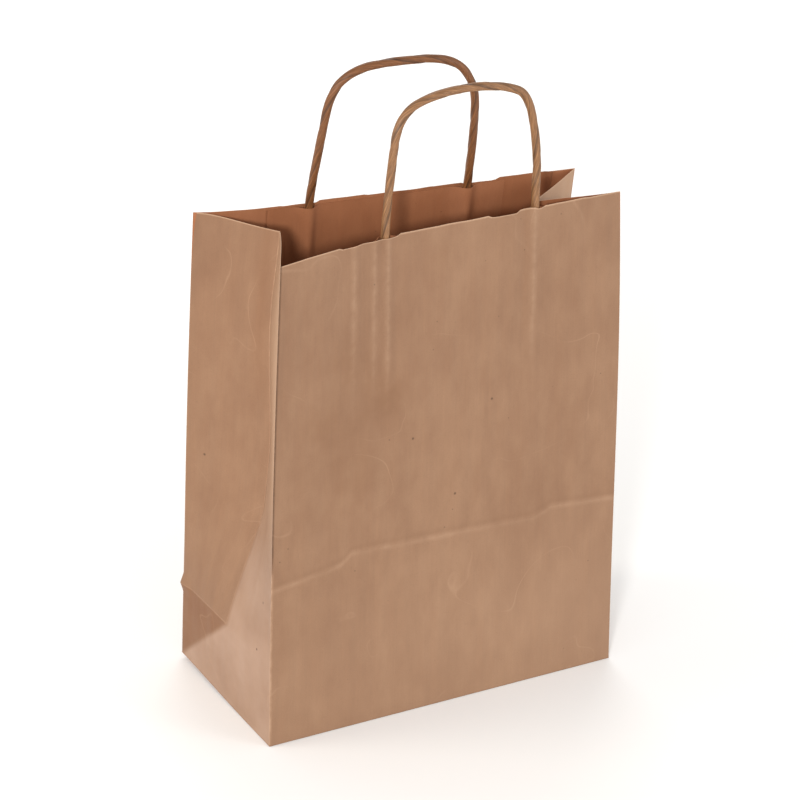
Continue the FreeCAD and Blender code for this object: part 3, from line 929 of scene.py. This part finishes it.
def pack_fold(tree, flat, along, up, colour):
    """The line where the flat bag was folded: worn pale on the ridge, painted shade above, painted light
    below.
    """
    height = joined(tree, PLUS, up, cloudy(tree, flat, 0.02, 0.0, 1.0, -1.2 * MM, 1.2 * MM, 1.0))
    for start, end, rise in PACK_STEPS:
        ends = (FRONT_FOLD + start * MM, FRONT_FOLD + end * MM)
        height = joined(tree, PLUS, height, add(tree, "MapRange", EVEN, along, *ends, 0.0, -rise * MM))
    on_front = band(tree, along, FRONT_FOLD, FRONT_FOLD + WIDTH)
    worn = joined(tree, TIMES, on_front, cloudy(tree, flat, 0.006, 0.35, 0.65, 0.45, 1.0),
                  cloudy(tree, flat, 0.03, 0.4, 0.6, 0.35, 1.0))
    ridge = joined(tree, TIMES, line_near(tree, height, PACK_LINE, 2.8 * MM), worn)
    # painted shade just above the pack's line
    shade = joined(tree, TIMES, line_near(tree, height, PACK_LINE + 3.5 * MM, 2.6 * MM), on_front)
    # painted light: below the line the front is painted paler, more towards its right corner and lower down
    painted_light_below_line = joined(tree, TIMES, on_front, add(tree, "Math", BELOW, height, PACK_LINE),
                   add(tree, "MapRange", EVEN, along, FRONT_FOLD, FRONT_FOLD + WIDTH, 0.45, 1.0),
                   add(tree, "MapRange", EASED, height, 35 * MM, PACK_LINE, 1.0, 0.3))
    colour = lay_over(tree, colour, painted_light_below_line, "#d3af90", 0.13)
    return lay_over(tree, lay_over(tree, colour, ridge, "#d3af90", 0.17), shade, "#7a583e", 0.15)


def cord_prints_painted_light_and_shade(tree, flat, along, up, colour):
    """Cords lay on the front in the pack: painted highlight on their raised prints, painted shade on sunk
    ones.
    """
    patchy = cloudy(tree, flat, 0.006, 0.35, 0.65, 0.35, 1.0)
    for place, half_width, length, depth in CORD_PRINTS["front"]:
        line = line_near(tree, along, FRONT_FOLD + place * WIDTH, half_width * MM)
        line = add(tree, "Math", {"operation": "POWER"}, line, 1.5)
        fade = add(tree, "MapRange", EASED, up, MOUTH - length * MM, MOUTH - (length - 50) * MM, 0.0, 1.0)
        painted_lighting = joined(tree, TIMES, line, fade, patchy)
        # painted highlight where a print stands out, painted shade where it is sunk
        tint = "#caa88a" if depth > 0 else "#7f5a3f"
        colour = lay_over(tree, colour, painted_lighting, tint, min(0.3, abs(depth) * 0.4))
    return colour


# %% Painted light and shade on the gussets
def gusset_painted_light_and_shade(tree, flat, along, up, colour):
    """Paints shade, light and the floor's reflection on the gussets, in and above the base triangles."""
    for start, way in ((WIDTH, 1), (2 * WIDTH + 2 * DEPTH, -1)):
        inwards = joined(tree, TIMES, add(tree, "Math", MINUS, along, start), way)
        on_gusset = band(tree, inwards, 0.0, DEPTH)
        clouds = joined(tree, TIMES, cloudy(tree, flat, 0.03, 0.3, 0.7, 0.5, 1.0), on_gusset)
        beyond = add(tree, "Math", MINUS, inwards, up)
        # painted shade on the rear side of the base triangle, under the fold across
        painted_shade_rear = joined(tree, TIMES, add(tree, "Math", BELOW, up, DEPTH / 2), clouds,
                           add(tree, "MapRange", EASED, beyond, -3 * MM, 1 * MM, 1.0, 0.0))
        colour = lay_over(tree, colour, painted_shade_rear, "#784c2c", 0.62)
        front_half = add(tree, "Math", MINUS, inwards, DEPTH / 2)
        nearest = joined(tree, LARGEST, beyond, front_half)
        # painted reflection of the pale floor, in front of the base triangle and fading upwards
        painted_floor_reflection = add(tree, "MapRange", EASED, nearest, -1 * MM, 4 * MM, 0.0, 1.0)
        fade = add(tree, "MapRange", EASED, up, 40 * MM, 200 * MM, 1.0, 0.3)
        colour = lay_over(tree, colour, joined(tree, TIMES, painted_floor_reflection, fade, clouds), "#bb9d89", 0.55)
        # painted light: higher up, its front half and its rim are painted bright
        painted_lighting = joined(tree, TIMES, add(tree, "MapRange", EASED, front_half, -1 * MM, 0.5 * MM, 0.0, 1.0),
                        add(tree, "MapRange", EVEN, front_half, 0.0, DEPTH * 0.45, 0.15, 1.0))
        high = add(tree, "MapRange", EASED, up, 110 * MM, 190 * MM, 0.0, 1.0)
        painted_lighting = joined(tree, TIMES, painted_lighting, high, band(tree, inwards, 0.0, DEPTH - 0.9 * MM))
        colour = lay_over(tree, colour, painted_lighting, "#cba686", 0.55)
        # and the paper lies in its own shade where it turns in towards the centre crease
        turning = joined(tree, TIMES, line_near(tree, front_half, -7 * MM, 8 * MM),
                         add(tree, "MapRange", EASED, up, 180 * MM, 250 * MM, 0.0, 1.0))
        colour = lay_over(tree, colour, turning, "#7d5233", 0.28)
    # painted light on the right gusset's rear half, near the mouth
    painted_light_right_rear = band(tree, along, 2 * WIDTH + 1.5 * DEPTH, 2 * WIDTH + 2 * DEPTH)
    near_mouth = add(tree, "MapRange", EASED, up, 230 * MM, 280 * MM, 0.0, 1.0)
    return lay_over(tree, colour, joined(tree, TIMES, painted_light_right_rear, near_mouth), "#c59f7e", 0.6)


# %% Wrinkles, stains and specks
# Places are in mm, across from the front panel's left edge and up. A stain also has its
# reach in mm and its strength.
STAINS = [(74, 213, 24, 0.58), (52, 236, 26, 0.44), (33, 205, 26, 0.38), (40, 165, 42, 0.34),
          (58, 190, 50, 0.24), (113, 290, 16, 0.24)]
SPECKS = [(95, 181), (125, 139), (150, 195), (-15, 90), (-17, 58), (-97, 152)]


def spot(tree, flat, across, height, fade, inner, outer, strength):
    """A round spot on the front panel, full inside one radius and gone outside the other."""
    centre = (FRONT_FOLD + across * MM, height * MM, 0)
    away = add(tree, "VectorMath", {"operation": "DISTANCE"}, flat, centre, out="Value")
    return add(tree, "MapRange", fade, away, inner * MM, outer * MM, strength, 0.0)


def wrinkles_and_spots(tree, flat, colour):
    """Soft wrinkles, stains, and specks of bark that are large enough to have a place."""
    # wrinkles are long thin lines where a slow noise passes its middle value
    slowly = {"Scale": 1 / 0.075, "Detail": 2.0, "Roughness": 0.5, "Distortion": 0.7}
    slow = add(tree, "TexNoise", slowly, flat)
    ridge = line_near(tree, slow, 0.5, 0.006)
    faint = cloudy(tree, flat, 0.05, 0.5, 0.7, 0.0, 0.2)
    colour = lay_over(tree, colour, joined(tree, TIMES, ridge, faint), "#c7a385")
    ragged = cloudy(tree, flat, 0.025, 0.35, 0.65, 0.3, 1.0)
    for across, height, reach, strength in STAINS:
        stain = spot(tree, flat, across, height, EASED, 0.0, reach, strength)
        colour = lay_over(tree, colour, joined(tree, TIMES, stain, ragged), "#7a5539")
    for across, height in SPECKS:
        speck = spot(tree, flat, across, height, EVEN, 0.5, 1.0, 0.75)
        colour = lay_over(tree, colour, speck, "#4f3626")
    return colour


# %% Kraft paper
def kraft(name, dark, middle, light, marked=False, gloss=0.5):
    """Kraft paper of three tones; only the body sheet is marked by folds, handling, and painted light and
    shade.
    """
    material, tree, shader = new_material(name)
    flat = add(tree, "UVMap", {"uv_map": "flat_sheet"})
    longer = add(tree, "Mapping", {"Scale": (1, 0.45, 1)}, flat)
    clouds = joined(tree, PLUS, cloudy(tree, longer, 0.09, 0.0, 1.0, 0.0, 0.6),
                    cloudy(tree, longer, 0.012, 0.0, 1.0, 0.0, 0.4, 4.0))
    tone = add(tree, "ValToRGB", {}, clouds)
    ramp = tone.node.color_ramp
    ramp.elements[0].position, ramp.elements[1].position = 0.34, 0.66
    ramp.elements[0].color, ramp.elements[1].color = linear(dark), linear(light)
    ramp.elements.new(0.5).color = linear(middle)
    # streaks along the machine's direction: fine ones 0.9 mm wide, and bands 5 mm wide
    shades = []
    for width, length, strength in ((0.9 * MM, 30 * MM, 0.02), (5 * MM, 100 * MM, 0.03)):
        stretched = add(tree, "Mapping", {"Scale": (1 / width, 1 / length, 1)}, flat)
        streak = add(tree, "TexNoise", {"Scale": 1.0, "Detail": 3.0, "Roughness": 0.55}, stretched)
        shades.append(add(tree, "MapRange", EVEN, streak, 0.3, 0.7, 1 - strength, 1 + strength))
    # hairs: thin curls where a distorted noise passes its middle value
    curls = {"Scale": 1 / 0.0032, "Detail": 1.0, "Roughness": 0.55, "Distortion": 1.6}
    hair = add(tree, "TexNoise", curls, flat)
    nearness = add(tree, "Math", SIZE, add(tree, "Math", MINUS, hair, 0.5))
    shades.append(add(tree, "MapRange", EVEN, nearness, 0.0, 0.02, 0.93, 1.0))
    # specks of bark, 0.6 mm across, about 17 mm apart
    cells = add(tree, "TexVoronoi", {"Scale": 1 / 0.017, "Randomness": 1.0}, flat)
    shades.append(add(tree, "MapRange", EVEN, cells, 0.018, 0.034, 0.6, 1.0))
    grain = add(tree, "TexNoise", {"Scale": 1 / 0.0007, "Detail": 4.0, "Roughness": 0.65}, flat)
    shades.append(add(tree, "MapRange", EVEN, grain, 0.3, 0.7, 0.96, 1.04))
    colour = add(tree, "VectorMath", {"operation": "SCALE", "Scale": joined(tree, TIMES, *shades)}, tone)
    if marked:
        parts = add(tree, "SeparateXYZ", {}, flat).node.outputs
        along, up = parts["X"], parts["Y"]
        for mark in (worn_folds_and_painted_fold_shade, pack_fold, cord_prints_painted_light_and_shade, gusset_painted_light_and_shade):
            colour = mark(tree, flat, along, up, colour)
        colour = wrinkles_and_spots(tree, flat, colour)
    tree.links.new(colour, shader.inputs["Base Color"])
    roughness = add(tree, "MapRange", EVEN, streak, 0.3, 0.7, gloss, gloss + 0.12)
    tree.links.new(roughness, shader.inputs["Roughness"])
    shader.inputs["IOR"].default_value = 1.45
    shader.inputs["Specular IOR Level"].default_value = 0.35
    height = add(tree, "Math", {"operation": "MULTIPLY_ADD"}, streak, 0.5, grain)
    bump = add(tree, "Bump", {"Strength": 0.35, "Distance": 0.12 * MM, "Height": height})
    tree.links.new(bump, shader.inputs["Normal"])
    return material


kraft_paper = kraft("machine_glazed_kraft_paper", "#856249", "#8d6a50", "#967358", marked=True)
# painted bounce light: the inner side and the patches are tinted redder than the outer side, for the warm
# light bounced inside the bag
inner_paper_with_painted_bounce = kraft("rough_side_kraft_with_painted_bounce_tint", "#955e3d", "#9d6543", "#a56d4b", gloss=0.68)
bottom_paper = kraft("machine_glazed_kraft_bottom_paper", "#87654a", "#8d6a50", "#957258")
patch_paper = kraft("patch_kraft_with_painted_bounce_tint", "#965f3e", "#9e6644", "#a66e4c", gloss=0.66)
print("kraft paper:", len(kraft_paper.node_tree.nodes), "nodes")

# %% [markdown]
# ### Twisted paper and glue
#
# The cord is a narrow strip of kraft with its glazed side out, so it has a low sheen and is
# a little lighter on its ridges. Where one edge of the strip lies over the next, dirt gathers
# and painted shade darkens the groove. A pointiness node could find those places, but only in
# one renderer, so the `groove` attribute from the modelling says where they are. The rear
# cord is given darker tones. The glue is a film of dried starch: pale, cloudy and smoother
# than paper.

# %% Twisted cord and glue
def twisted_paper(name, dark, light, hidden):
    """Twisted kraft of two tones, with a third one hidden in its grooves."""
    material, tree, shader = new_material(name)
    flat = add(tree, "UVMap", {"uv_map": "along_strip"})
    groove = add(tree, "Attribute", {"attribute_name": "groove"}, out="Fac")
    # fibres of 0.45 mm by 8 mm, turned by the angle at which the strip lies on the cord
    lay_angle = math.atan(2 * math.pi * CORD_RADIUS / LAY)
    turned = add(tree, "Mapping", {"Rotation": (0, 0, -lay_angle)}, flat)
    stretched = add(tree, "Mapping", {"Scale": (1 / (8 * MM), 1 / (0.45 * MM), 1)}, turned)
    fibre = add(tree, "TexNoise", {"Scale": 1.0, "Detail": 4.0, "Roughness": 0.6}, stretched)
    tone = add(tree, "ValToRGB", {}, fibre)
    ramp = tone.node.color_ramp
    ramp.elements[0].position, ramp.elements[1].position = 0.3, 0.7
    ramp.elements[0].color, ramp.elements[1].color = linear(dark), linear(light)
    # dirt and painted shade darken the grooves where one turn of the strip lies over the next
    depth = add(tree, "MapRange", EVEN, groove, 0.2, 1.0, 0.0, 0.7)
    tree.links.new(lay_over(tree, tone, depth, hidden), shader.inputs["Base Color"])
    shader.inputs["Roughness"].default_value = 0.46
    shader.inputs["IOR"].default_value = 1.45
    shader.inputs["Specular IOR Level"].default_value = 0.5
    bump = add(tree, "Bump", {"Strength": 0.6, "Distance": 0.2 * MM, "Height": fibre})
    tree.links.new(bump, shader.inputs["Normal"])
    return material


def dried_glue():
    """Starch glue that dried as a cloudy film, in spots about 3 mm across."""
    material, tree, shader = new_material("dried_starch_glue")
    place = add(tree, "TexCoord", {}, out="Object")
    cloud = add(tree, "TexNoise", {"Scale": 1 / 0.003, "Detail": 3.0}, place)
    tone = add(tree, "ValToRGB", {}, cloud)
    ramp = tone.node.color_ramp
    ramp.elements[0].color, ramp.elements[1].color = linear("#b79a7c"), linear("#cdb294")
    tree.links.new(tone, shader.inputs["Base Color"])
    shader.inputs["Roughness"].default_value = 0.35
    return material


cord_papers = {"front": twisted_paper("twisted_kraft_paper_cord", "#59381e", "#a6784f", "#26140a"),
               "rear": twisted_paper("darker_twisted_kraft_paper_cord", "#4e2a12", "#8e5b32", "#1e0e06")}
starch_glue = dried_glue()
print("cord papers:", ", ".join(paper.name for paper in cord_papers.values()))

# %% [markdown]
# ## Putting the pieces on the frame
#
# A piece that rides on the bag moves with it. Each cord is one piece, held between the plies
# and free above the mouth; its place is baked into its mesh, and it is not attached to the bag.


def dress(piece, materials, slot, *nodes):
    """A sheet has an outer and an inner side; other pieces have one material."""
    while len(piece.data.materials) < len(materials):
        piece.data.materials.append(None)
    for index in range(len(piece.data.materials)):
        piece.data.materials[index] = materials[min(index, len(materials) - 1)]
    if nodes:
        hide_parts(*nodes)


dress(paper_sheet, [kraft_paper, inner_paper_with_painted_bounce], "kraft_paper", "front_panel", "rear_panel", "side_seam_flap",
      "left_gusset_base", "left_gusset_front", "left_gusset_rear",
      "right_gusset_base", "right_gusset_front", "right_gusset_rear")
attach(paper_sheet, "bag")
dress(seam_glue, [starch_glue], "paper_glue", "side_seam_glue")
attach(seam_glue, "bag")
dress(bottom_film, [starch_glue], "paper_glue", "bottom_glue")
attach(bottom_film, "bag")
for node, piece in bottom_pieces.items():
    dress(piece, [bottom_paper, inner_paper_with_painted_bounce], "kraft_paper", node)
    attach(piece, "bag")
for node, piece in patch_pieces.items():
    is_glue = node.endswith("glue")
    finish, slot = ([starch_glue], "paper_glue") if is_glue else ([patch_paper], "patch_paper")
    dress(piece, finish, slot, node)
    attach(piece, "bag")
for name, (cord, upwards) in cords.items():
    dress(cord, [cord_papers[name]], "twisted_paper_cord", f"{name}_handle_cord", f"{name}_cord_ends")
    foot = leg_point(name, LEGS[name][0], MOUTH)
    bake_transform(cord)
print("pieces dressed:", 3 + len(bottom_pieces) + len(patch_pieces) + len(cords))

# %% [markdown]
# ## Floor and light
#
# A paper bag in a catalogue is lit from the upper left, with white all round, so the folds
# show by tone alone. One strong lamp would do it, but it would leave the other side black.
# So a small key lamp gives the shadow inside the mouth, two large weak ones open the sides,
# and one lights the backdrop. The floor is a plain pale sheet, far larger than the bag, so
# its edge never shows.

# %% Floor, world and lamps
deselect_all()
bpy.ops.mesh.primitive_plane_add(size=30, location=(0, 0, -0.3 * MM))
floor = bpy.context.object
floor.name = "studio_floor"
# matt white paper from a roll: no sheen, and a trace of warmth
floor_paint, _, shader = new_material("white_studio_paper")
shader.inputs["Base Color"].default_value = linear("#f4f3f1")
shader.inputs["Roughness"].default_value = 0.9
floor.data.materials.append(floor_paint)

world = bpy.data.worlds.new("soft_studio")
world.use_nodes = True
world.node_tree.nodes["Background"].inputs["Color"].default_value = (1, 1, 1, 1)
world.node_tree.nodes["Background"].inputs["Strength"].default_value = 0.7
bpy.context.scene.world = world
bpy.context.scene.view_settings.view_transform = "Standard"


def soft_box(name, place, size, power, target=AIM):
    """An area lamp that looks at the middle of the bag, or at another place."""
    data = bpy.data.lights.new(name, "AREA")
    data.shape = "DISK"
    data.size = size
    data.energy = power
    lamp = bpy.data.objects.new(name, data)
    bpy.context.collection.objects.link(lamp)
    lamp.location = place
    lamp.rotation_euler = (target - Vector(place)).to_track_quat("-Z", "Y").to_euler()
    return lamp


soft_box("key_light", (-1.4, -1.75, 1.1), 0.3, 32)
side_light = soft_box("side_light", (-1.7, 0.5, 1.0), 0.8, 11.5)
side_light.data.color = (1.0, 0.92, 0.82)
soft_box("fill_light", (1.2, -1.35, 0.7), 0.8, 8.5)
soft_box("backdrop_light", (0.7, 1.5, 1.7), 1.4, 22, Vector((0.9, 1.9, 0)))
print("lamps:", ", ".join(data.name for data in bpy.data.lights))
